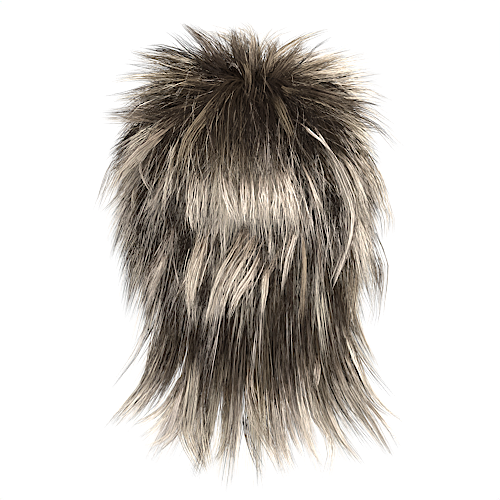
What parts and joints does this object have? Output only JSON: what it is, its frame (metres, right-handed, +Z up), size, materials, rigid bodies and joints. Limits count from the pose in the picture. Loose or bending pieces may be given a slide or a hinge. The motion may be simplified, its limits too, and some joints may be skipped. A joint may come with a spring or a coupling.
{
  "type": "synthetic wig",
  "caption": "Layered spiky wig with dark brown roots, blond ends and long flared locks at the nape, sewn in rows on a stretch cap with an elastic rim.",
  "frame": {"origin": "inside apex of the cap, where the crown of the head sits", "axes": "+Z up, -Y towards the nape, +Y towards the face, +X to the right as seen from behind"},
  "size_m": [0.2915, 0.266, 0.4527],
  "materials": {
    "cap_net": "fine stretch net",
    "rim_elastic": "ribbed elastic",
    "hair_crown": "satin synthetic fibre, dark at the root",
    "hair_layers": "satin synthetic fibre, blond at the tip"
  },
  "bodies": {
    "root": {"cap": "cap_net", "rim_band": "rim_elastic", "whorl_tier": "hair_crown", "top_tier": "hair_crown", "crown_tier": "hair_crown", "fringe_tier": "hair_layers", "temple_tier": "hair_layers", "ear_tier": "hair_layers", "neck_tier": "hair_layers", "nape_tier": "hair_layers"}
  },
  "joints": []
}
